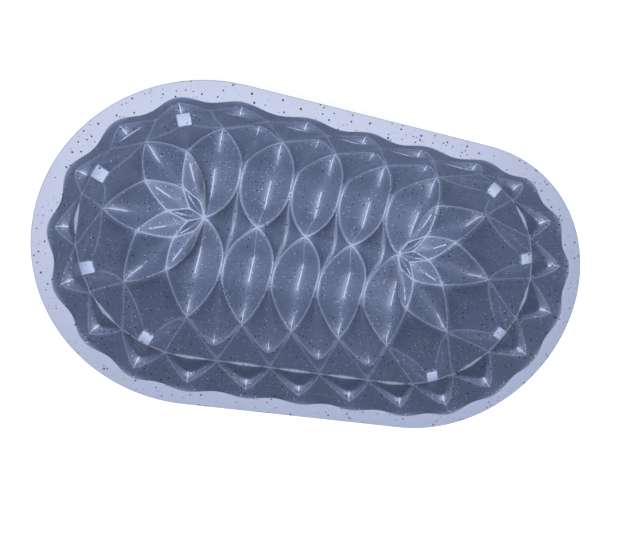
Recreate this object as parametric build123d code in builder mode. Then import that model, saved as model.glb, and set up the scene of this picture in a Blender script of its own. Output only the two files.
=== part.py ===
from build123d import *
from math import cos, sin, radians, degrees
import os

os.makedirs("parts", exist_ok=True)

# Oval cake pan, upright on its floor, long axis along X, cavity opening upward.
# The relief of the cavity is a lattice of petals: rings of petals round a flower
# centre at each end, and columns of the same petals along the straight sides.
# Each petal is two flanks that meet on a raised keel, and its outline is a groove.
# All sizes are millimetres.

# overall plan: centre of each end, and the level rim beyond the widest lobes
wall_centre = 64.0
rim_width = 6.6

# build-up of the wall
lining_thickness = 0.25
casting_thickness = 3.0
coat_thickness = 0.25
shell_thickness = lining_thickness + casting_thickness + coat_thickness

# petals repeat every petal_angle round the ends; along each side a column stands on
# the middle, one at this share of the way to the end, and one at the end centre
petal_angle = 22.5
inner_column_share = 0.484

# heights above the grooves of the cavity floor
flower_keel_height = 4.0
leaf_height = 15.0
diamond_height = 22.0
petal_shoulder_height = 24.5
leaf_shoulder_height = 26.0
tip_height = 24.0
side_tip_height = 46.0
ring_height = 55.5
stroke_height = 75.5
mouth_height = 81.5

# floor lattice
floor_centre = 67.0
bud_radius = 10.6
inner_tip_radius = 23.0
narrow_tip_radius = 42.4
last_narrow_angle = 65.5
waist_angle = 80.0
petal_tip_radius = 59.7
petal_tip_centre = 65.5
petal_shoulder_radius = 46.5
groove_start = 20.5
groove_end = 39.5
leaf_keel_start = 14.0
leaf_keel_end = 34.0
leaf_shoulder = 46.0
leaf_tip_centre = 67.5
leaf_tip_reach = 58.8
groove_width = 2.0
groove_spread = 0.6
diamond_bow = 3.0
narrow_bow = 1.2
broad_bow = 1.8

# wall lattice, radii from the straight line between the two wall centres
ring_radius = 70.0
square_size = 6.6
lens_share = 0.7
lens_width = 1.8
side_tip_reach = 67.0
side_keel_reach = 63.2
stroke_radius = 70.3
side_lobe_tip = 75.4
end_lobe_tip = 76.6
side_mouth_radius = 77.3
end_mouth_radius = 78.4
notch_radius = 75.0
rim_radius = end_mouth_radius + rim_width

# height of the floor grooves above the table
floor_level = shell_thickness
rim_top = floor_level + mouth_height

# share of a half lobe that a square covers
square_share = degrees(square_size / 2 / ring_radius) / (petal_angle / 2)


def line(start, end):
    return Edge.make_line(start, end)


def arc(start, middle, end):
    """Arc through three points, or a line when they are in a row."""
    if (middle - start).cross(end - start).length < 1e-6:
        return line(start, end)
    return Edge.make_three_point_arc(start, middle, end)


def bowed(start, end, bow):
    """Shallow curve from start to end with its middle moved by the vector bow."""
    return Edge.make_bezier(start, (start + end) / 2 + bow * 2, end)


def flat(*corners):
    return Face(Wire.make_polygon(corners, close=True))


def ruled(first, second):
    """Face between two edges that start at the same corner."""
    return Face.make_surface_from_curves(first, second)


def heading(angle, length=1.0):
    return Vector(cos(radians(angle)), sin(radians(angle)), 0) * length


def column_x(place, centre):
    """Distance along X of a column, counted 0, 1, 2 from the middle to the end centre."""
    if place <= 1:
        return centre * place * inner_column_share
    return centre * (inner_column_share + (place - 1) * (1 - inner_column_share))


def quarter_relief(depth):
    """Faces and mouth edges of one quarter of the cavity, pushed back by depth."""

    def at_end(radius, angle, height, out=1.0, down=1.0, centre=wall_centre):
        level = floor_level + height - down * depth
        return Vector(centre, 0, level) + heading(angle, radius + out * depth)

    def at_side(x, y, height=0.0, out=0.0, down=1.0):
        return Vector(x, y + out * depth, floor_level + height - down * depth)

    def in_flower(radius, angle, height=0.0):
        return at_end(radius, angle, height, 0.0, 1.0, floor_centre)

    def narrow_tip(angle):
        return at_end(narrow_tip_radius, angle, 0, 0.5, 1.0, floor_centre)

    def leaf_tip(column):
        x = column_x(column, leaf_tip_centre)
        return at_side(x, leaf_tip_reach, tip_height, 0.9, 0.5)

    def petal_tip(angle):
        if angle == 90:
            return leaf_tip(2)
        return at_end(petal_tip_radius, angle, tip_height, 0.9, 0.5, petal_tip_centre)

    def groove_near(gap, side):
        spread = side * (groove_width + depth * groove_spread) / 2
        return at_side(column_x(gap, floor_centre) + spread, groove_start)

    def groove_far(gap, side):
        return groove_near(gap, side) + Vector(0, groove_end - groove_start, 0)

    faces = []
    mouth = []
    narrow_angles = (petal_angle, last_narrow_angle)
    middle = in_flower(0, 0)

    def narrow_groove(index, side, from_tip):
        """Groove between a narrow petal tip and the inner tip on one side of it."""
        angle = narrow_angles[index]
        start = in_flower(inner_tip_radius, (2 * index + 1 + side) * petal_angle)
        bow = heading(angle + side * 90, narrow_bow)
        if from_tip:
            return bowed(narrow_tip(angle), start, bow)
        return bowed(start, narrow_tip(angle), bow)

    # small petals on the floor round the flower centre
    for place, side in ((0, 1), (1, -1), (1, 1)):
        angle = place * 2 * petal_angle
        keel = in_flower(bud_radius, angle, flower_keel_height)
        edge = in_flower(bud_radius, narrow_angles[place + (side - 1) // 2])
        faces.append(flat(middle, edge, keel))
        faces.append(flat(keel, edge, in_flower(inner_tip_radius, angle)))

    # narrow petals between them
    for index, side in ((0, -1), (0, 1), (1, -1)):
        angle = narrow_angles[index]
        bud = in_flower(bud_radius, angle)
        keel = in_flower(inner_tip_radius, angle, flower_keel_height)
        start = in_flower(inner_tip_radius, (2 * index + 1 + side) * petal_angle)
        faces.append(flat(bud, start, keel))
        faces.append(ruled(narrow_groove(index, side, True), line(narrow_tip(angle), keel)))

    # the last narrow petal and the leaf beside it share a groove to the flower centre
    last = last_narrow_angle
    corner = narrow_tip(last)
    bud = in_flower(bud_radius, last)
    keel = in_flower(inner_tip_radius, last, flower_keel_height)
    waist = in_flower(inner_tip_radius, waist_angle)
    low_middle = in_flower(inner_tip_radius / 2, waist_angle + 4)
    high_middle = in_flower((inner_tip_radius + narrow_tip_radius) / 2, waist_angle - 6)
    faces.append(ruled(arc(middle, low_middle, waist), line(middle, bud)))
    faces.append(flat(bud, waist, keel))
    faces.append(ruled(arc(corner, high_middle, waist), line(corner, keel)))

    # broad petals at the end: the keel climbs to a shoulder and runs on level to the tip
    for place, side in ((0, 1), (1, -1), (1, 1)):
        angle = place * 2 * petal_angle
        index = place + (side - 1) // 2
        narrow = narrow_tip(narrow_angles[index])
        start = in_flower(inner_tip_radius, angle)
        tip = petal_tip(angle)
        height = petal_shoulder_height
        shoulder = at_end(petal_shoulder_radius, angle, height, 0.7, 0.7, floor_centre)
        bow = heading(narrow_angles[index], broad_bow)
        faces.append(ruled(narrow_groove(index, -side, False), line(start, shoulder)))
        faces.append(ruled(bowed(tip, narrow, bow), line(tip, shoulder)))

    # leaves in columns along the side, and half diamonds between them on the long axis
    for column in (0, 1, 2):
        x = column_x(column, floor_centre)
        root = at_side(x, 0)
        keel_start = at_side(x, leaf_keel_start, leaf_height)
        keel_end = at_side(x, leaf_keel_end, leaf_height)
        shoulder = at_side(x, leaf_shoulder, leaf_shoulder_height, 0.8, 0.7)
        tip = leaf_tip(column)
        for side in (-1, 1):
            gap = column + side / 2
            if gap < 0:
                continue
            if gap > 2:
                faces.append(ruled(arc(root, low_middle, waist), line(root, keel_start)))
                faces.append(ruled(line(keel_start, keel_end), arc(waist, high_middle, corner)))
                faces.append(flat(keel_end, corner, shoulder))
                outline = bowed(tip, corner, heading(last, broad_bow))
                faces.append(ruled(outline, line(tip, shoulder)))
                continue
            near = groove_near(gap, -side)
            far = groove_far(gap, -side)
            peak = at_side(column_x(gap, floor_centre), 0, diamond_height)
            bow = Vector(side * groove_start, -floor_centre / 4, 0).normalized() * diamond_bow
            faces.append(ruled(bowed(root, near, bow), line(root, peak)))
            faces.append(ruled(bowed(root, near, bow), line(root, keel_start)))
            faces.append(ruled(line(keel_start, keel_end), line(near, far)))
            faces.append(flat(keel_end, far, shoulder))
            bow = Vector(side, 1, 0).normalized() * broad_bow
            faces.append(ruled(bowed(tip, far, bow), line(tip, shoulder)))

    # pointed petals that close between the tips of two leaves
    for gap in (0.5, 1.5):
        x = column_x(gap, leaf_tip_centre)
        keel = at_side(x, side_keel_reach, side_tip_height, 1.0, 0.6)
        point = at_side(x, side_tip_reach, side_tip_height, 1.0, 0.6)
        near_pair = [groove_near(gap, side) for side in (-1, 1)]
        far_pair = [groove_far(gap, side) for side in (-1, 1)]
        peak = at_side(column_x(gap, floor_centre), 0, diamond_height)
        faces.append(Face(Wire.make_polygon(near_pair + far_pair[::-1], close=True)))
        faces.append(flat(near_pair[0], near_pair[1], peak))
        faces.append(flat(far_pair[0], far_pair[1], keel))
        for side in (-1, 1):
            far = groove_far(gap, side)
            tip = leaf_tip(gap + side / 2)
            bow = Vector(-side, 1, 0).normalized() * broad_bow
            faces.append(ruled(bowed(far, tip, bow), line(far, keel)))
            faces.append(flat(keel, tip, point))

    # lobes of the wall, one half at a time, from the floor petals up to the mouth
    def half_lobe(spot, along, low, side_point, top_radii, square_bow=None):
        """Half a lobe; spot(share, radius) gives points from its middle to its gap."""
        tip_radius, mouth_radius = top_radii

        def on_ring(share, radius=ring_radius):
            return spot(share, radius, ring_height, 1.0, 0.8)

        mark = on_ring(square_share if square_bow else lens_share)
        gap = on_ring(1)
        start = spot(0, stroke_radius, stroke_height, 1.0, 0.6)
        tip = spot(0, tip_radius, stroke_height + 1, 1.0, 0.8)
        lip = spot(0, mouth_radius, mouth_height, 1.0, 1.0)
        notch = spot(1, notch_radius, mouth_height, 1.0, 1.0)

        if square_bow:
            outer = on_ring(0)
            inward = on_ring(0, ring_radius - square_size) - outer
            inner, corner = outer + inward, mark + inward
            faces.append(flat(outer, mark, corner, inner))
            faces.append(flat(low, inner, corner))
            faces.append(ruled(bowed(low, side_point, square_bow), line(low, corner)))
            faces.append(flat(side_point, corner, mark))
            faces.append(flat(gap, mark, side_point))
        else:
            outer = on_ring(0, ring_radius + lens_width / 2)
            inner = on_ring(0, ring_radius - lens_width / 2)
            faces.append(flat(mark, outer, inner))
            faces.append(flat(mark, inner, low))
            faces.append(flat(mark, low, gap))
            if side_point is not None:
                faces.append(flat(low, gap, side_point))

        faces.append(flat(mark, outer, start))
        faces.append(flat(mark, gap, start))
        faces.append(flat(gap, start, tip))
        faces.append(flat(gap, tip, notch))
        edge = Edge.make_spline([lip, notch], tangents=[along(0), along(1)])
        faces.append(ruled(edge, line(lip, tip)))
        mouth.append(edge)

    end_top = end_lobe_tip, end_mouth_radius
    side_top = side_lobe_tip, side_mouth_radius
    for column in range(5):
        angle = column * petal_angle
        for side in (-1, 1):
            if not 0 <= column + side / 2 <= 4:
                continue

            def spot(share, radius, height, out, down):
                turn = angle + side * share * petal_angle / 2
                return at_end(radius, turn, height, out, down)

            def along(share):
                return heading(angle + side * share * petal_angle / 2 + side * 90)

            top_radii = end_top if column < 4 else side_top
            if column % 2:
                narrow = narrow_angles[column // 2]
                side_point = petal_tip((column + side) * petal_angle)
                bow = heading(narrow, broad_bow)
                half_lobe(spot, along, narrow_tip(narrow), side_point, top_radii, bow)
            else:
                half_lobe(spot, along, petal_tip(angle), None, top_radii)

    for column in (0, 1, 2):
        for side in (-1, 1):
            gap_place = column + side / 2
            if not 0 < gap_place < 2:
                continue

            def spot(share, radius, height, out, down):
                x = column_x(column + side * share / 2, wall_centre)
                return at_side(x, radius, height, out, down)

            def along(share):
                return Vector(side, 0, 0)

            x = column_x(gap_place, leaf_tip_centre)
            point = at_side(x, side_tip_reach, side_tip_height, 1.0, 0.6)
            half_lobe(spot, along, leaf_tip(column), point, side_top)

    return faces, mouth


def relief(depth):
    """Faces and mouth edges of the whole cavity surface, pushed back by depth."""
    faces, mouth = quarter_relief(depth)
    for plane in (Plane.YZ, Plane.XZ):
        faces = faces + [face.mirror(plane) for face in faces]
        mouth = mouth + [edge.mirror(plane) for edge in mouth]
    return faces, mouth


def rim_plate(depth, inset, mouth):
    """Level face of the rim at a depth below its top, from its outline to the mouth."""
    with BuildSketch(Plane.XY.offset(rim_top - depth)) as outline:
        SlotCenterToCenter(2 * wall_centre, 2 * (rim_radius - inset))
    return Face(outline.sketch.face().outer_wire(), [Wire(mouth)])


def rim_side(top_depth, bottom_depth, inset):
    """Upright faces round the rim between two depths below its top."""
    with BuildPart() as side:
        with BuildSketch(Plane.XY.offset(rim_top - bottom_depth)):
            SlotCenterToCenter(2 * wall_centre, 2 * (rim_radius - inset))
        extrude(amount=bottom_depth - top_depth)
    return [face for face in side.part.faces() if abs(face.normal_at().Z) < 0.5]


def shell_between(top_depth, bottom_depth, inset):
    """Solid between two copies of the cavity surface and out to the edge of the rim."""
    inner_faces, inner_mouth = relief(top_depth)
    outer_faces, outer_mouth = relief(bottom_depth)
    faces = inner_faces + outer_faces
    faces.append(rim_plate(top_depth, inset, inner_mouth))
    faces.append(rim_plate(bottom_depth, inset, outer_mouth))
    faces += rim_side(top_depth, bottom_depth, inset)
    return Solid(Shell(faces))


# nonstick lining: the cooking surface and the top of the rim
with BuildPart() as nonstick_lining:
    add(shell_between(0, lining_thickness, 0))
nonstick_lining.part.label = "nonstick_lining"

# casting: the bowl with its petals, and the rim
casting_depth = lining_thickness + casting_thickness
with BuildPart() as cast_pan:
    add(shell_between(lining_thickness, casting_depth, coat_thickness))
cast_pan.part.label = "cast_pan"

# outer coat: the underside of the bowl and of the rim, and a band round the edge of the rim
with BuildPart() as underside_coat:
    add(shell_between(casting_depth, shell_thickness, 0))
with BuildPart() as outer_coat:
    add(underside_coat.part)
    with BuildSketch(Plane.XY.offset(rim_top - casting_depth)):
        SlotCenterToCenter(2 * wall_centre, 2 * rim_radius)
        SlotCenterToCenter(2 * wall_centre, 2 * (rim_radius - coat_thickness), mode=Mode.SUBTRACT)
    extrude(amount=casting_thickness)
outer_coat.part.label = "outer_coat"

export_step(nonstick_lining.part, "parts/nonstick_lining.step")
export_step(cast_pan.part, "parts/cast_pan.step")
export_step(outer_coat.part, "parts/outer_coat.step")
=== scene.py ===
from math import cos, sin, radians, hypot, pi

import bmesh
import bpy
from mathutils import Matrix, Vector
from mathutils.kdtree import KDTree


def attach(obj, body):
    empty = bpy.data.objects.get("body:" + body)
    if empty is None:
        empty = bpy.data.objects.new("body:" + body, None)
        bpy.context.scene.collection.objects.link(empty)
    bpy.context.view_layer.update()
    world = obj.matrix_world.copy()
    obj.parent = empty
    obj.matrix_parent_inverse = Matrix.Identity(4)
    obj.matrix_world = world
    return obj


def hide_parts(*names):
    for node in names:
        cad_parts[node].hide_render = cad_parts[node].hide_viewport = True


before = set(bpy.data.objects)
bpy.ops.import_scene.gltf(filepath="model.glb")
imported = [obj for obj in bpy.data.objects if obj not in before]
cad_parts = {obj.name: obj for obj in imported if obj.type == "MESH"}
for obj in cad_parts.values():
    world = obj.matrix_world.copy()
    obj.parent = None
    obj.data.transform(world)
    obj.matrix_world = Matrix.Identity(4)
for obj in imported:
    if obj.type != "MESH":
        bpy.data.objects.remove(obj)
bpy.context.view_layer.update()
scene = bpy.context.scene

# Oval cake pan: one casting whose cavity is a lattice of softly rounded petals, with a
# speckled coating. Lengths below are millimetres.
MM = 0.001
WALL_CENTRE = 64.0
RIM_RADIUS = 85.0
FLOOR_LEVEL = 3.5
RIM_TOP = 85.0
PETAL_ANGLE = 22.5
INNER_COLUMN_SHARE = 0.484
LINING_THICKNESS = 0.25
CASTING_THICKNESS = 3.0
COAT_THICKNESS = 0.25

FLOOR_CENTRE = 67.0
BUD_RADIUS = 10.6
INNER_TIP_RADIUS = 23.0
NARROW_TIP_RADIUS = 42.4
NARROW_ANGLES = (22.5, 65.5)
WAIST_ANGLE = 80.0
PETAL_TIP_RADIUS = 59.7
PETAL_TIP_CENTRE = 65.5
PETAL_SHOULDER_RADIUS = 46.5
GROOVE_START = 20.5
GROOVE_END = 39.5
GROOVE_WIDTH = 2.0
LEAF_KEEL = (14.0, 34.0)
LEAF_SHOULDER = 46.0
LEAF_TIP_CENTRE = 67.5
LEAF_TIP_REACH = 58.8
RING_RADIUS = 70.0
SQUARE_SIZE = 6.6
LENS_SHARE = 0.7
LENS_WIDTH = 1.8
SIDE_TIP = (63.2, 67.0)
STROKE_RADIUS = 70.3
LOBE_TOPS = {"side": (75.4, 77.3), "end": (76.6, 78.4)}
NOTCH_RADIUS = 75.0

FLOWER_HEIGHT = 4.0
LEAF_HEIGHT = 15.0
DIAMOND_HEIGHT = 22.0
PETAL_SHOULDER_HEIGHT = 24.5
LEAF_SHOULDER_HEIGHT = 26.0
TIP_HEIGHT = 24.0
SIDE_TIP_HEIGHT = 46.0
RING_HEIGHT = 55.5
STROKE_HEIGHT = 75.5
MOUTH_HEIGHT = 81.5

# how the lattice is softened: divisions of each side of a patch, rounds of smoothing
DIVISIONS = 9
SMOOTH_ROUNDS = 12
QUARTERS = ((1, 1), (-1, 1), (1, -1), (-1, -1))
LINE_POINT_SPACING = 0.18
ON_LINE = 0.14
LEVEL_TOLERANCE = 0.01
SAME_PLACE = 1e-6
WELD = 2e-6

# each kind of lattice line, painted pale as a highlight where its rounded crease catches the
# light: half width in millimetres, and how pale the painted highlight is
LINE_LOOKS = {"Groove": (0.66, 0.34), "Stroke": (0.6, 0.62), "Faint": (0.5, 0.2),
              "Ring": (0.6, 0.55)}


# ---- lines of the lattice, one quarter at a time

def heading(angle, length=1.0):
    return Vector((cos(radians(angle)), sin(radians(angle)), 0.0)) * length


def at_end(radius, angle, height, centre=WALL_CENTRE):
    return Vector((centre, 0.0, FLOOR_LEVEL + height)) + heading(angle, radius)


def at_side(x, y, height=0.0):
    return Vector((x, y, FLOOR_LEVEL + height))


def in_flower(radius, angle, height=0.0):
    return at_end(radius, angle, height, FLOOR_CENTRE)


def column_x(place, centre):
    if place <= 1:
        return centre * place * INNER_COLUMN_SHARE
    return centre * (INNER_COLUMN_SHARE + (place - 1) * (1 - INNER_COLUMN_SHARE))


def narrow_tip(angle):
    return in_flower(NARROW_TIP_RADIUS, angle)


def leaf_tip(column):
    return at_side(column_x(column, LEAF_TIP_CENTRE), LEAF_TIP_REACH, TIP_HEIGHT)


def petal_tip(angle):
    if angle == 90:
        return leaf_tip(2)
    return at_end(PETAL_TIP_RADIUS, angle, TIP_HEIGHT, PETAL_TIP_CENTRE)


def petal_shoulder(angle):
    return at_end(PETAL_SHOULDER_RADIUS, angle, PETAL_SHOULDER_HEIGHT, FLOOR_CENTRE)


def groove_ends(gap, side):
    near = at_side(column_x(gap, FLOOR_CENTRE) + side * GROOVE_WIDTH / 2, GROOVE_START)
    return near, at_side(near.x, GROOVE_END)


def diamond_peak(gap):
    return at_side(column_x(gap, FLOOR_CENTRE), 0, DIAMOND_HEIGHT)


def side_tip(gap):
    x = column_x(gap, LEAF_TIP_CENTRE)
    return [at_side(x, y, SIDE_TIP_HEIGHT) for y in SIDE_TIP]


def straight(start, end):
    return start, (start + end) / 2, end


def bowed(start, end, bow):
    return start, (start + end) / 2 + bow * 2, end


def through(start, middle, end):
    return start, middle * 2 - (start + end) / 2, end


def floor_lines(grooves, strokes, faint):
    middle = in_flower(0, 0)
    last = NARROW_ANGLES[1]
    corner = narrow_tip(last)
    waist = in_flower(INNER_TIP_RADIUS, WAIST_ANGLE)
    low_middle = in_flower(INNER_TIP_RADIUS / 2, WAIST_ANGLE + 4)
    high_middle = in_flower((INNER_TIP_RADIUS + NARROW_TIP_RADIUS) / 2, WAIST_ANGLE - 6)
    grooves.append(through(middle, low_middle, waist))
    grooves.append(through(waist, high_middle, corner))
    for index, side in ((0, -1), (0, 1), (1, -1)):
        angle = NARROW_ANGLES[index]
        bud = in_flower(BUD_RADIUS, angle)
        start = in_flower(INNER_TIP_RADIUS, (2 * index + 1 + side) * PETAL_ANGLE)
        grooves.append(straight(middle, bud))
        grooves.append(straight(bud, start))
        grooves.append(bowed(start, narrow_tip(angle), heading(angle + side * 90, 1.2)))
    for index in (0, 1):
        angle = NARROW_ANGLES[index]
        strokes.append(straight(in_flower(25.0, angle, 3.6), in_flower(37.0, angle, 1.1)))
        petal = index * 2 * PETAL_ANGLE
        strokes.append(straight(in_flower(11.5, petal, 3.8), in_flower(19.0, petal, 1.3)))
        shoulder = petal_shoulder(petal)
        strokes.append(straight(shoulder, petal_tip(petal)))
        faint.append(straight(shoulder, shoulder.lerp(in_flower(INNER_TIP_RADIUS, petal), 0.3)))
    for index, side in ((0, 1), (0, -1), (1, -1), (1, 1)):
        angle = NARROW_ANGLES[index]
        tip = petal_tip((2 * index + 1 + side) * PETAL_ANGLE)
        grooves.append(bowed(tip, narrow_tip(angle), heading(angle, 1.8)))


def side_lines(grooves, strokes, faint):
    for column in (0, 1, 2):
        x = column_x(column, FLOOR_CENTRE)
        root = at_side(x, 0)
        keel = [at_side(x, y, LEAF_HEIGHT) for y in LEAF_KEEL]
        strokes.append(straight(*keel))
        shoulder = at_side(x, LEAF_SHOULDER, LEAF_SHOULDER_HEIGHT)
        faint.append(straight(root, keel[0]))
        strokes.append(straight(keel[0] + Vector((0.1, 0, 0)), keel[0]))
        strokes.append(straight(shoulder.lerp(leaf_tip(column), 0.35), leaf_tip(column)))
        for side in (-1, 1):
            gap = column + side / 2
            if not 0 < gap < 2:
                continue
            near, far = groove_ends(gap, -side)
            bow = Vector((side * GROOVE_START, -FLOOR_CENTRE / 4, 0)).normalized() * 3.0
            grooves.append(bowed(root, near, bow))
            grooves.append(straight(near, far))
            bow = Vector((side, 1, 0)).normalized() * 1.8
            grooves.append(bowed(leaf_tip(column), far, bow))
            faint.append(straight(leaf_tip(column), side_tip(gap)[1]))
    for gap in (0.5, 1.5):
        strokes.append(straight(*side_tip(gap)))
        peak = diamond_peak(gap)
        strokes.append(straight(peak, peak + Vector((0.2, 0, 0))))
        faint.append(straight(peak, at_side(peak.x, GROOVE_START)))


def ring_points(spot, square):
    """On the ring: end of the level face, gap, then the middle of the level face."""
    def on_ring(share, radius=RING_RADIUS):
        return spot(share, radius, RING_HEIGHT)

    if square:
        mark, outer = on_ring(SQUARE_SIZE / RING_RADIUS / radians(PETAL_ANGLE)), on_ring(0)
        inner = on_ring(0, RING_RADIUS - SQUARE_SIZE)
        return mark, on_ring(1), outer, inner, mark + inner - outer
    outer = on_ring(0, RING_RADIUS + LENS_WIDTH / 2)
    inner = on_ring(0, RING_RADIUS - LENS_WIDTH / 2)
    return on_ring(LENS_SHARE), on_ring(1), outer, inner, None


def top_points(spot, top):
    """Stroke, lip and notch of half a lobe."""
    start = spot(0, STROKE_RADIUS, STROKE_HEIGHT)
    tip = spot(0, top[0], STROKE_HEIGHT + 1)
    return start, tip, spot(0, top[1], MOUTH_HEIGHT), spot(1, NOTCH_RADIUS, MOUTH_HEIGHT)


def half_lobes():
    """Each half of a wall lobe: its place function, low corner, top radii, side point."""
    halves = []
    for column in range(5):
        for side in (-1, 1):
            if not 0 <= column + side / 2 <= 4:
                continue

            def spot(share, radius, height, column=column, side=side):
                return at_end(radius, (column + side * share / 2) * PETAL_ANGLE, height)

            low, side_point = petal_tip(column * PETAL_ANGLE), None
            if column % 2:
                low = narrow_tip(NARROW_ANGLES[column // 2])
                side_point = petal_tip((column + side) * PETAL_ANGLE)
            top = LOBE_TOPS["end" if column < 4 else "side"]
            halves.append((spot, low, top, side_point, column % 2 == 1))
    for column in (0, 1, 2):
        for side in (-1, 1):
            gap = column + side / 2
            if not 0 < gap < 2:
                continue

            def spot(share, radius, height, column=column, side=side):
                return at_side(column_x(column + side * share / 2, WALL_CENTRE), radius, height)

            halves.append((spot, leaf_tip(column), LOBE_TOPS["side"], side_tip(gap)[1], False))
    return halves


def wall_lines(strokes, faint, ring, level):
    for spot, low, top, side_point, square in half_lobes():
        mark, gap, outer, inner, corner = ring_points(spot, square)
        start, tip = top_points(spot, top)[:2]
        if square:
            level += [straight(outer, mark), straight(mark, corner), straight(corner, inner)]
            faint.append(straight(side_point, corner))
        else:
            level += [straight(mark, outer), straight(mark, inner)]
            faint.append(straight(low, gap))
        ring.append(straight(mark, gap))
        strokes.append(straight(start, tip))
        faint.append(straight(gap, tip))


def lattice_lines():
    grooves, strokes, faint, ring, level = [], [], [], [], []
    floor_lines(grooves, strokes, faint)
    side_lines(grooves, strokes, faint)
    wall_lines(strokes, faint, ring, level)
    return {"groove": grooves, "stroke": strokes, "faint": faint, "ring": ring, "level": level}


def line_finder(curves):
    """Tree of points along the curves, in all four quarters, in metres."""
    points = []
    for start, control, end in curves:
        steps = max(2, int((end - start).length / LINE_POINT_SPACING))
        for index in range(steps + 1):
            t = index / steps
            point = start * (1 - t) ** 2 + control * 2 * t * (1 - t) + end * t ** 2
            points.append(point * MM)
    tree = KDTree(len(points) * 4)
    for number, point in enumerate(points):
        for flip, (a, b) in enumerate(QUARTERS):
            tree.insert((point.x * a, point.y * b, point.z), number * 4 + flip)
    tree.balance()
    return tree


LINE_CURVES = lattice_lines()
LINES = {kind: line_finder(curves) for kind, curves in LINE_CURVES.items()}


def near_line(kind, place, reach):
    return LINES[kind].find(place)[2] < reach * MM


# ---- the softened cavity surface: a cage of patches, divided, bent to its curves, relaxed

def flower_patches():
    """Corners of the patches round the flower centre, in one quarter."""
    middle = in_flower(0, 0)
    patches = []
    for place, side in ((0, 1), (1, -1), (1, 1)):
        angle = place * 2 * PETAL_ANGLE
        narrow_angle = NARROW_ANGLES[place + (side - 1) // 2]
        keel = in_flower(BUD_RADIUS, angle, FLOWER_HEIGHT)
        edge = in_flower(BUD_RADIUS, narrow_angle)
        start = in_flower(INNER_TIP_RADIUS, angle)
        narrow = narrow_tip(narrow_angle)
        shoulder = petal_shoulder(angle)
        patches += [(middle, edge, keel), (keel, edge, start)]
        patches += [(start, narrow, shoulder), (petal_tip(angle), narrow, shoulder)]
    for index, side in ((0, -1), (0, 1), (1, -1)):
        angle = NARROW_ANGLES[index]
        bud = in_flower(BUD_RADIUS, angle)
        keel = in_flower(INNER_TIP_RADIUS, angle, FLOWER_HEIGHT)
        start = in_flower(INNER_TIP_RADIUS, (2 * index + 1 + side) * PETAL_ANGLE)
        patches += [(bud, start, keel), (narrow_tip(angle), start, keel)]
    last = NARROW_ANGLES[1]
    bud = in_flower(BUD_RADIUS, last)
    keel = in_flower(INNER_TIP_RADIUS, last, FLOWER_HEIGHT)
    waist = in_flower(INNER_TIP_RADIUS, WAIST_ANGLE)
    patches += [(middle, waist, bud), (bud, waist, keel), (narrow_tip(last), waist, keel)]
    return patches


def side_patches():
    """Corners of the patches of the leaves, diamonds and pointed petals, in one quarter."""
    patches = []
    corner = narrow_tip(NARROW_ANGLES[1])
    waist = in_flower(INNER_TIP_RADIUS, WAIST_ANGLE)
    for column in (0, 1, 2):
        x = column_x(column, FLOOR_CENTRE)
        root = at_side(x, 0)
        keel_start, keel_end = (at_side(x, y, LEAF_HEIGHT) for y in LEAF_KEEL)
        shoulder = at_side(x, LEAF_SHOULDER, LEAF_SHOULDER_HEIGHT)
        tip = leaf_tip(column)
        for side in (-1, 1):
            gap = column + side / 2
            if gap < 0:
                continue
            near, far = waist, corner
            if gap < 2:
                near, far = groove_ends(gap, -side)
                patches.append((root, near, diamond_peak(gap)))
            patches += [(root, near, keel_start), (keel_start, keel_end, far, near)]
            patches += [(keel_end, far, shoulder), (tip, far, shoulder)]
    for gap in (0.5, 1.5):
        keel, point = side_tip(gap)
        peak = diamond_peak(gap)
        (near, far), (other_near, other_far) = groove_ends(gap, -1), groove_ends(gap, 1)
        patches += [(near, other_near, other_far, far), (near, other_near, peak)]
        patches.append((far, other_far, keel))
        for side, foot in ((-1, far), (1, other_far)):
            tip = leaf_tip(gap + side / 2)
            patches += [(foot, tip, keel), (keel, tip, point)]
    return patches


def lobe_patches(spot, low, top, side_point, square):
    """Corners of the patches of half a wall lobe."""
    mark, gap, outer, inner, corner = ring_points(spot, square)
    start, tip, lip, notch = top_points(spot, top)
    if square:
        patches = [(outer, mark, corner, inner), (low, inner, corner), (low, side_point, corner),
                   (side_point, corner, mark), (gap, mark, side_point)]
    else:
        patches = [(mark, outer, inner), (mark, inner, low), (mark, low, gap)]
        if side_point:
            patches.append((low, gap, side_point))
    return patches + [(mark, outer, start), (mark, gap, start), (gap, start, tip),
                      (gap, tip, notch), (lip, notch, tip)]


def bend(form, curves):
    """Move the points along each straight cage side onto its curve, in all quarters."""
    tree = KDTree(len(form.verts))
    for vert in form.verts:
        tree.insert(vert.co, vert.index)
    tree.balance()
    form.verts.ensure_lookup_table()
    moves = {}
    for start, end, points in curves:
        for number, point in enumerate(points, 1):
            chord = start.lerp(end, number / DIVISIONS)
            for a, b in QUARTERS:
                turn = Vector((a, b, 1))
                index, miss = tree.find(chord * turn * MM)[1:]
                if miss < SAME_PLACE:
                    moves[index] = point * turn * MM
    for index, place in moves.items():
        form.verts[index].co = place


def curve_points(curve):
    start, control, end = curve
    points = []
    for number in range(1, DIVISIONS):
        t = number / DIVISIONS
        points.append(start * (1 - t) ** 2 + control * 2 * t * (1 - t) + end * t ** 2)
    return start, end, points


def mouth_points(spot, top):
    """Half a lobe of the mouth: from its lip, round into the notch."""
    points = []
    for number in range(1, DIVISIONS):
        share = number / DIVISIONS
        radius = NOTCH_RADIUS + (top[1] - NOTCH_RADIUS) * (1 + cos(share * pi)) / 2
        points.append(spot(share, radius, MOUTH_HEIGHT))
    return spot(0, top[1], MOUTH_HEIGHT), spot(1, NOTCH_RADIUS, MOUTH_HEIGHT), points


def nearest_centre(place):
    """Nearest point, at the same height, of the line between the two wall centres."""
    return Vector((max(-WALL_CENTRE, min(WALL_CENTRE, place.x / MM)) * MM, 0, place.z))


def outline_place(place):
    """Point of the outer edge of the rim, straight outward from a point of the mouth."""
    centre = nearest_centre(place)
    return centre + (place - centre).normalized() * RIM_RADIUS * MM


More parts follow.
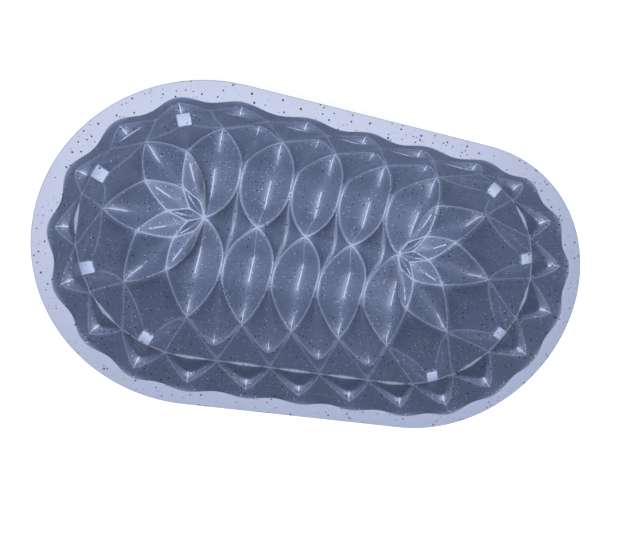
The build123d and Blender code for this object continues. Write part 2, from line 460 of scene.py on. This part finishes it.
def cavity_surface():
    form = bmesh.new()
    curves = [curve_points(curve) for curve in LINE_CURVES["groove"]]
    patches = flower_patches() + side_patches()
    for spot, low, top, side_point, square in half_lobes():
        patches += lobe_patches(spot, low, top, side_point, square)
        curves.append(mouth_points(spot, top))
    for patch in patches:
        form.faces.new([form.verts.new(corner * MM) for corner in patch])
    bmesh.ops.remove_doubles(form, verts=form.verts, dist=WELD)
    for axis in ("X", "Y"):
        bmesh.ops.mirror(form, geom=form.verts[:] + form.edges[:] + form.faces[:],
                         axis=axis, merge_dist=WELD)
    bmesh.ops.subdivide_edges(form, edges=form.edges, cuts=DIVISIONS - 1, use_grid_fill=True)
    form.verts.index_update()
    bend(form, curves)
    mouth = [edge for edge in form.edges if edge.is_boundary]
    made = bmesh.ops.extrude_edge_only(form, edges=mouth)["geom"]
    for vert in made:
        if isinstance(vert, bmesh.types.BMVert):
            vert.co = outline_place(vert.co)
    bmesh.ops.triangulate(form, faces=form.faces, quad_method="BEAUTY", ngon_method="BEAUTY")
    bmesh.ops.recalc_face_normals(form, faces=form.faces)
    if max(form.faces, key=lambda face: face.calc_center_median().z).normal.z < 0:
        bmesh.ops.reverse_faces(form, faces=form.faces)
    return form


def slot_distance(place):
    """Distance in millimetres from the line between the two wall centres."""
    along = max(0.0, abs(place.x) / MM - WALL_CENTRE)
    return hypot(along, place.y / MM)


def on_rim(face):
    return all(v.co.z > (RIM_TOP - LEVEL_TOLERANCE) * MM for v in face.verts)


def is_pinned(vert):
    if vert.is_boundary or vert.co.z > (RIM_TOP - LEVEL_TOLERANCE) * MM:
        return True
    return any(near_line(kind, vert.co, ON_LINE) for kind in ("groove", "ring", "level"))


def soften(form):
    """Round the keels and facets into petals; grooves, ring and level faces stay."""
    free = [vert for vert in form.verts if not is_pinned(vert)]
    for _ in range(SMOOTH_ROUNDS):
        bmesh.ops.smooth_vert(form, verts=free, factor=0.5, use_axis_x=True, use_axis_y=True,
                              use_axis_z=True)


def mark_sharp(form):
    for face in form.faces:
        face.smooth = True
    for edge in form.edges:
        rims = [on_rim(face) for face in edge.link_faces]
        if len(rims) < 2 or rims[0] != rims[1]:
            edge.smooth = False
            continue
        middle = (edge.verts[0].co + edge.verts[1].co) / 2
        edge.smooth = not near_line("level", middle, ON_LINE)


def measure_lines(form):
    """Distance of each vertex to the lines of each kind, as an attribute, in millimetres."""
    for kind in LINE_LOOKS:
        layer = form.verts.layers.float.new(kind.lower() + "_distance")
        for vert in form.verts:
            vert[layer] = LINES[kind.lower()].find(vert.co)[2] / MM
    level = form.verts.layers.float.new("level_face")
    for vert in form.verts:
        at_ring = abs(vert.co.z / MM - FLOOR_LEVEL - RING_HEIGHT) < LEVEL_TOLERANCE
        vert[level] = float(at_ring and slot_distance(vert.co) > RING_RADIUS - SQUARE_SIZE - 0.1)


cavity = cavity_surface()
measure_lines(cavity)
soften(cavity)
mark_sharp(cavity)
cavity.normal_update()


# ---- pieces: slices between two depths under the cavity surface

# radii over which the push turns outward, heights over which it turns back down at the lip
WALL_BEGINS = (34.0, 56.0)
LIP_BEGINS = (77.0, 81.0)
WALL_TURN = 0.4
RIM_EDGE_REACH = 2.0

def eased(value, low, high):
    share = min(1.0, max(0.0, (value - low) / (high - low)))
    return share * share * (3 - 2 * share)


def sunk(place, normal, depth, inset=0.0):
    """A point of the cavity surface pushed back by depth, in millimetres.

    The thin lining goes back along the normal, the edge of the rim straight down, and the
    deeper layers down and, on the wall, outward.
    """
    radius = slot_distance(place)
    height = place.z / MM - FLOOR_LEVEL
    outward = place - nearest_centre(place)
    outward.z = 0
    outward = outward.normalized() if outward.length > 1e-9 else Vector((0, 0, 0))
    if radius > RIM_RADIUS - RIM_EDGE_REACH:
        return place - Vector((0, 0, depth)) * MM - outward * inset * MM
    if depth <= LINING_THICKNESS:
        return place - normal * depth * MM
    wall = eased(radius, *WALL_BEGINS)
    down = 1 - WALL_TURN * wall * (1 - eased(height, *LIP_BEGINS))
    return place + outward * wall * depth * MM - Vector((0, 0, down * depth)) * MM


def slice_between(name, top_depth, bottom_depth, inset, band=False):
    form = cavity.copy()
    numbered = form.verts.layers.int.new("number")
    rest = {vert: (vert.co.copy(), vert.normal.copy()) for vert in form.verts}
    for vert in form.verts:
        vert.co = sunk(*rest[vert], top_depth, inset)
    grown = {}
    if band:
        rim_edges = [edge for edge in form.edges if edge.is_boundary]
        made = bmesh.ops.extrude_edge_only(form, edges=rim_edges)["geom"]
        for vert in made:
            if isinstance(vert, bmesh.types.BMVert):
                vert.co.z += CASTING_THICKNESS * MM
                outward = vert.co - nearest_centre(vert.co)
                grown[vert] = outward.normalized() * inset * MM
    upper = list(form.verts)
    targets = []
    for vert in upper:
        if vert in grown:
            targets.append(vert.co + grown[vert])
        else:
            targets.append(sunk(*rest[vert], bottom_depth, 0.0 if band else inset))
    bmesh.ops.recalc_face_normals(form, faces=form.faces)
    for number, vert in enumerate(upper):
        vert[numbered] = number
    made = bmesh.ops.extrude_face_region(form, geom=list(form.faces), use_keep_orig=True)["geom"]
    lower = [vert for vert in made if isinstance(vert, bmesh.types.BMVert)]
    for vert in lower:
        vert.co = targets[vert[numbered]]
    bmesh.ops.recalc_face_normals(form, faces=form.faces)
    form.verts.layers.int.remove(numbered)
    mesh = bpy.data.meshes.new(name)
    form.to_mesh(mesh)
    form.free()
    piece = bpy.data.objects.new(name, mesh)
    scene.collection.objects.link(piece)
    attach(piece, "root")
    return piece


lining_depth = LINING_THICKNESS
casting_depth = lining_depth + CASTING_THICKNESS
coat_depth = casting_depth + COAT_THICKNESS
lining = slice_between("soft_lining", 0.0, lining_depth, 0.0)
casting = slice_between("soft_casting", lining_depth, casting_depth, COAT_THICKNESS)
outer = slice_between("soft_outer_coat", casting_depth, coat_depth, COAT_THICKNESS, band=True)
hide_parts("nonstick_lining")
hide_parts("cast_pan")
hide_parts("outer_coat")


# ---- materials

SLATE = (0.075, 0.096, 0.148)
# pale colour painted as a highlight on the lattice lines and the level faces
PAINTED_HIGHLIGHT_PALE = (0.38, 0.45, 0.57, 1.0)
PALE_FLECK = (0.36, 0.42, 0.54, 1.0)
DARK_FLECK = (0.012, 0.014, 0.03, 1.0)
STUDIO_LIGHT = (0.9, 0.905, 1.0)

def group_socket(group, name, kind, direction, value=None):
    socket = group.interface.new_socket(name=name, in_out=direction, socket_type=kind)
    if value is not None:
        socket.default_value = value
    return socket


def math_node(tree, operation, first, second=None, third=None):
    node = tree.nodes.new("ShaderNodeMath")
    node.operation = operation
    for index, value in enumerate((first, second, third)):
        if value is None:
            continue
        if isinstance(value, (int, float)):
            node.inputs[index].default_value = value
        else:
            tree.links.new(value, node.inputs[index])
    return node.outputs[0]


def fleck_group():
    """Ragged flecks scattered in the coating: a mask from cells of a given size."""
    group = bpy.data.node_groups.new("coating_flecks", "ShaderNodeTree")
    group_socket(group, "Cells per metre", "NodeSocketFloat", "INPUT", 440.0)
    group_socket(group, "Fleck size", "NodeSocketFloat", "INPUT", 0.16)
    group_socket(group, "Share", "NodeSocketFloat", "INPUT", 0.8)
    group_socket(group, "Shift", "NodeSocketVector", "INPUT")
    group_socket(group, "Mask", "NodeSocketFloat", "OUTPUT")
    inside = group.nodes.new("NodeGroupInput")
    outside = group.nodes.new("NodeGroupOutput")
    place = group.nodes.new("ShaderNodeTexCoord")
    moved = group.nodes.new("ShaderNodeVectorMath")
    moved.operation = "ADD"
    group.links.new(place.outputs["Object"], moved.inputs[0])
    group.links.new(inside.outputs["Shift"], moved.inputs[1])
    wobble = group.nodes.new("ShaderNodeTexNoise")
    wobble.inputs["Scale"].default_value = 1800.0
    wobble.inputs["Detail"].default_value = 1.0
    group.links.new(moved.outputs[0], wobble.inputs["Vector"])
    cells = group.nodes.new("ShaderNodeTexVoronoi")
    cells.feature = "F1"
    group.links.new(moved.outputs[0], cells.inputs["Vector"])
    group.links.new(inside.outputs["Cells per metre"], cells.inputs["Scale"])
    split = group.nodes.new("ShaderNodeSeparateColor")
    group.links.new(cells.outputs["Color"], split.inputs[0])
    ragged = math_node(group, "MULTIPLY_ADD", wobble.outputs["Fac"], 0.12,
                       cells.outputs["Distance"])
    spread = math_node(group, "POWER", split.outputs[0], 3.0)
    size = math_node(group, "MULTIPLY_ADD", spread, 0.9, 0.5)
    radius = math_node(group, "MULTIPLY_ADD", size, inside.outputs["Fleck size"], 0.06)
    gap = math_node(group, "SUBTRACT", radius, ragged)
    edge = math_node(group, "MULTIPLY", gap, 16.0)
    edge.node.use_clamp = True
    kept = math_node(group, "LESS_THAN", split.outputs[1], inside.outputs["Share"])
    mask = math_node(group, "MULTIPLY", edge, kept)
    group.links.new(mask, outside.inputs["Mask"])
    return group


def line_group():
    """Mask along the lattice lines from the distance attributes of the surface."""
    group = bpy.data.node_groups.new("lattice_lines", "ShaderNodeTree")
    for kind, (width, paleness) in LINE_LOOKS.items():
        group_socket(group, kind + " width", "NodeSocketFloat", "INPUT", width)
        group_socket(group, kind, "NodeSocketFloat", "OUTPUT")
    inside = group.nodes.new("NodeGroupInput")
    outside = group.nodes.new("NodeGroupOutput")
    for kind in LINE_LOOKS:
        source = group.nodes.new("ShaderNodeAttribute")
        source.attribute_name = kind.lower() + "_distance"
        ramp = group.nodes.new("ShaderNodeMapRange")
        ramp.interpolation_type = "SMOOTHSTEP"
        group.links.new(source.outputs["Fac"], ramp.inputs["Value"])
        low = math_node(group, "MULTIPLY", inside.outputs[kind + " width"], 0.35)
        high = math_node(group, "MULTIPLY", inside.outputs[kind + " width"], 1.25)
        group.links.new(low, ramp.inputs["From Min"])
        group.links.new(high, ramp.inputs["From Max"])
        ramp.inputs["To Min"].default_value = 1.0
        ramp.inputs["To Max"].default_value = 0.0
        group.links.new(ramp.outputs["Result"], outside.inputs[kind])
    return group


FLECKS = fleck_group()
LATTICE = line_group()


def mix_colour(tree, mask, under, over):
    mix = tree.nodes.new("ShaderNodeMix")
    mix.data_type = "RGBA"
    sockets = [s for s in mix.inputs if s.type == "RGBA"]
    tree.links.new(mask, mix.inputs[0])
    for socket, value in zip(sockets, (under, over)):
        if isinstance(value, tuple):
            socket.default_value = value
        else:
            tree.links.new(value, socket)
    return [s for s in mix.outputs if s.type == "RGBA"][0]


def flecks(tree, cells, size, share, shift):
    node = tree.nodes.new("ShaderNodeGroup")
    node.node_tree = FLECKS
    node.inputs["Cells per metre"].default_value = cells
    node.inputs["Fleck size"].default_value = size
    node.inputs["Share"].default_value = share
    node.inputs["Shift"].default_value = shift
    return node.outputs["Mask"]


def coating(name, slate, pale_share):
    """Baked granite-look coating: slate blue with dark and pale flecks, softly glossy, with
    painted highlights along the lattice lines and on the level faces.
    """
    material = bpy.data.materials.new(name)
    material.use_nodes = True
    tree = material.node_tree
    shader = tree.nodes["Principled BSDF"]
    place = tree.nodes.new("ShaderNodeTexCoord")
    cloud = tree.nodes.new("ShaderNodeTexNoise")
    cloud.inputs["Scale"].default_value = 900.0
    cloud.inputs["Detail"].default_value = 3.0
    tree.links.new(place.outputs["Object"], cloud.inputs["Vector"])
    darker = tuple(c * 0.86 for c in slate) + (1.0,)
    paler = tuple(c * 1.14 for c in slate) + (1.0,)
    colour = mix_colour(tree, cloud.outputs["Fac"], darker, paler)
    # squares and lenses: the level faces of the wall, painted pale up to their edge as a highlight
    # of the overhead light they face
    level = tree.nodes.new("ShaderNodeAttribute")
    level.attribute_name = "level_face"
    painted_highlight = math_node(tree, "MULTIPLY_ADD", level.outputs["Fac"], 1.55, -0.87)
    painted_highlight.node.use_clamp = True
    painted_highlight = math_node(tree, "MULTIPLY", painted_highlight, 0.62)
    # painted highlight: the lattice lines are painted pale where their rounded creases would catch
    # the light
    lines = tree.nodes.new("ShaderNodeGroup")
    lines.node_tree = LATTICE
    for kind, (width, paleness) in LINE_LOOKS.items():
        lines.inputs[kind + " width"].default_value = width
        line = math_node(tree, "MULTIPLY", lines.outputs[kind], paleness)
        painted_highlight = math_node(tree, "MAXIMUM", painted_highlight, line)
    # painted highlight: the coating colour is mixed toward pale along the lattice lines and on the
    # level faces
    colour = mix_colour(tree, painted_highlight, colour, PAINTED_HIGHLIGHT_PALE)
    pale_mask = flecks(tree, 740.0, 0.21, pale_share, (0.3, 0.1, 0.7))
    # the pale flecks are lost in the sheen of the rim
    parts = tree.nodes.new("ShaderNodeSeparateXYZ")
    tree.links.new(place.outputs["Object"], parts.inputs[0])
    below = math_node(tree, "LESS_THAN", parts.outputs["Z"], (RIM_TOP - 0.5) * MM)
    pale_mask = math_node(tree, "MULTIPLY", pale_mask, below)
    colour = mix_colour(tree, pale_mask, colour, PALE_FLECK)
    dark_mask = flecks(tree, 540.0, 0.25, 0.75, (0.0, 0.0, 0.0))
    colour = mix_colour(tree, dark_mask, colour, DARK_FLECK)
    tree.links.new(colour, shader.inputs["Base Color"])
    # a dark fleck lies bare of the clear coat round it, so it stays dark in the sheen
    rough = math_node(tree, "MULTIPLY_ADD", dark_mask, 0.3, 0.5)
    tree.links.new(rough, shader.inputs["Roughness"])
    shader.inputs["Specular IOR Level"].default_value = 0.3
    covered = math_node(tree, "MULTIPLY_ADD", painted_highlight, 1.5, dark_mask)
    gloss = math_node(tree, "SUBTRACT", 1.0, covered)
    gloss.node.use_clamp = True
    # the clear coat thins from the rim down to the floor of the cavity
    thin = tree.nodes.new("ShaderNodeMapRange")
    tree.links.new(parts.outputs["Z"], thin.inputs["Value"])
    for socket, value in (("From Min", 0.005), ("From Max", 0.035),
                          ("To Min", 0.12), ("To Max", 0.45)):
        thin.inputs[socket].default_value = value
    rim_only = math_node(tree, "SUBTRACT", 1.0, below)
    gloss = math_node(tree, "MULTIPLY", gloss,
                      math_node(tree, "MAXIMUM", thin.outputs["Result"], rim_only))
    tree.links.new(gloss, shader.inputs["Coat Weight"])
    shader.inputs["Coat Roughness"].default_value = 0.4
    shader.inputs["Coat IOR"].default_value = 1.7
    # the creases of a cast and coated surface are never sharp
    rounded = tree.nodes.new("ShaderNodeBevel")
    rounded.samples = 6
    rounded.inputs["Radius"].default_value = 0.0005
    grain = tree.nodes.new("ShaderNodeBump")
    grain.inputs["Strength"].default_value = 0.25
    grain.inputs["Distance"].default_value = 0.0002
    tree.links.new(cloud.outputs["Fac"], grain.inputs["Height"])
    tree.links.new(rounded.outputs[0], grain.inputs["Normal"])
    tree.links.new(grain.outputs[0], shader.inputs["Normal"])
    tree.links.new(grain.outputs[0], shader.inputs["Coat Normal"])
    return material


def cast_aluminium():
    material = bpy.data.materials.new("cast_aluminium")
    material.use_nodes = True
    tree = material.node_tree
    shader = tree.nodes["Principled BSDF"]
    place = tree.nodes.new("ShaderNodeTexCoord")
    grain = tree.nodes.new("ShaderNodeTexNoise")
    grain.inputs["Scale"].default_value = 700.0
    grain.inputs["Detail"].default_value = 4.0
    tree.links.new(place.outputs["Object"], grain.inputs["Vector"])
    colour = mix_colour(tree, grain.outputs["Fac"], (0.5, 0.5, 0.52, 1.0), (0.66, 0.66, 0.68, 1.0))
    tree.links.new(colour, shader.inputs["Base Color"])
    shader.inputs["Metallic"].default_value = 1.0
    shader.inputs["Roughness"].default_value = 0.45
    bump = tree.nodes.new("ShaderNodeBump")
    bump.inputs["Strength"].default_value = 0.3
    bump.inputs["Distance"].default_value = 0.0002
    tree.links.new(grain.outputs["Fac"], bump.inputs["Height"])
    tree.links.new(bump.outputs[0], shader.inputs["Normal"])
    return material


lining.data.materials.append(coating("speckled_lining", SLATE, 0.9))
outer.data.materials.append(coating("speckled_outer_coat", SLATE, 0.5))
casting.data.materials.append(cast_aluminium())


# ---- floor, light and camera

def pale_floor():
    mesh = bpy.data.meshes.new("floor")
    form = bmesh.new()
    bmesh.ops.create_grid(form, x_segments=1, y_segments=1, size=4.0)
    form.to_mesh(mesh)
    form.free()
    floor = bpy.data.objects.new("floor", mesh)
    scene.collection.objects.link(floor)
    material = bpy.data.materials.new("pale_floor")
    material.use_nodes = True
    shader = material.node_tree.nodes["Principled BSDF"]
    shader.inputs["Base Color"].default_value = (0.93, 0.93, 0.93, 1.0)
    shader.inputs["Roughness"].default_value = 0.8
    tree = material.node_tree
    white = tree.nodes.new("ShaderNodeEmission")
    path = tree.nodes.new("ShaderNodeLightPath")
    share = math_node(tree, "MULTIPLY", path.outputs["Is Camera Ray"], 0.7)
    blend = tree.nodes.new("ShaderNodeMixShader")
    tree.links.new(share, blend.inputs[0])
    tree.links.new(shader.outputs[0], blend.inputs[1])
    tree.links.new(white.outputs[0], blend.inputs[2])
    tree.links.new(blend.outputs[0], tree.nodes["Material Output"].inputs["Surface"])
    mesh.materials.append(material)
    return floor


def softbox(name, place, aim, width, height, watts):
    data = bpy.data.lights.new(name, "AREA")
    data.shape = "RECTANGLE"
    data.size = width
    data.size_y = height
    data.energy = watts
    data.color = STUDIO_LIGHT
    lamp = bpy.data.objects.new(name, data)
    scene.collection.objects.link(lamp)
    lamp.location = place
    lamp.rotation_euler = (Vector(aim) - Vector(place)).to_track_quat("-Z", "Y").to_euler()
    return lamp


pale_floor()
softbox("softbox", (0.08, -0.1, 1.085), (0.08, -0.1, 0.0), 1.4, 0.95, 27.0)

world = bpy.data.worlds.new("studio")
scene.world = world
world.use_nodes = True
background = world.node_tree.nodes["Background"]
background.inputs["Color"].default_value = (*STUDIO_LIGHT, 1.0)
background.inputs["Strength"].default_value = 0.85


# the camera was solved in a frame whose origin is this far above the table
SOLVED_FRAME_LIFT = 0.080


def add_camera():
    """Camera as solved from the photograph, in the frame of the pan."""
    turn = Vector((3.407032, 0.359078, 0.386193))
    shift = Vector((11.181459, 4.097873, 312.311981))
    focal_pixels = 579.793
    picture_width = 620.0
    world_to_view = Matrix.Rotation(turn.length, 3, turn.normalized())
    data = bpy.data.cameras.new("camera")
    data.sensor_width = 36.0
    data.sensor_fit = "HORIZONTAL"
    data.lens = focal_pixels / picture_width * data.sensor_width
    data.clip_start = 0.01
    camera = bpy.data.objects.new("camera", data)
    scene.collection.objects.link(camera)
    view_to_world = world_to_view.transposed()
    place = -(view_to_world @ shift) * MM
    place.z += SOLVED_FRAME_LIFT
    flip = Matrix(((1, 0, 0), (0, -1, 0), (0, 0, -1)))
    camera.matrix_world = Matrix.Translation(place) @ (view_to_world @ flip).to_4x4()
    scene.camera = camera


add_camera()
scene.view_settings.view_transform = "Standard"
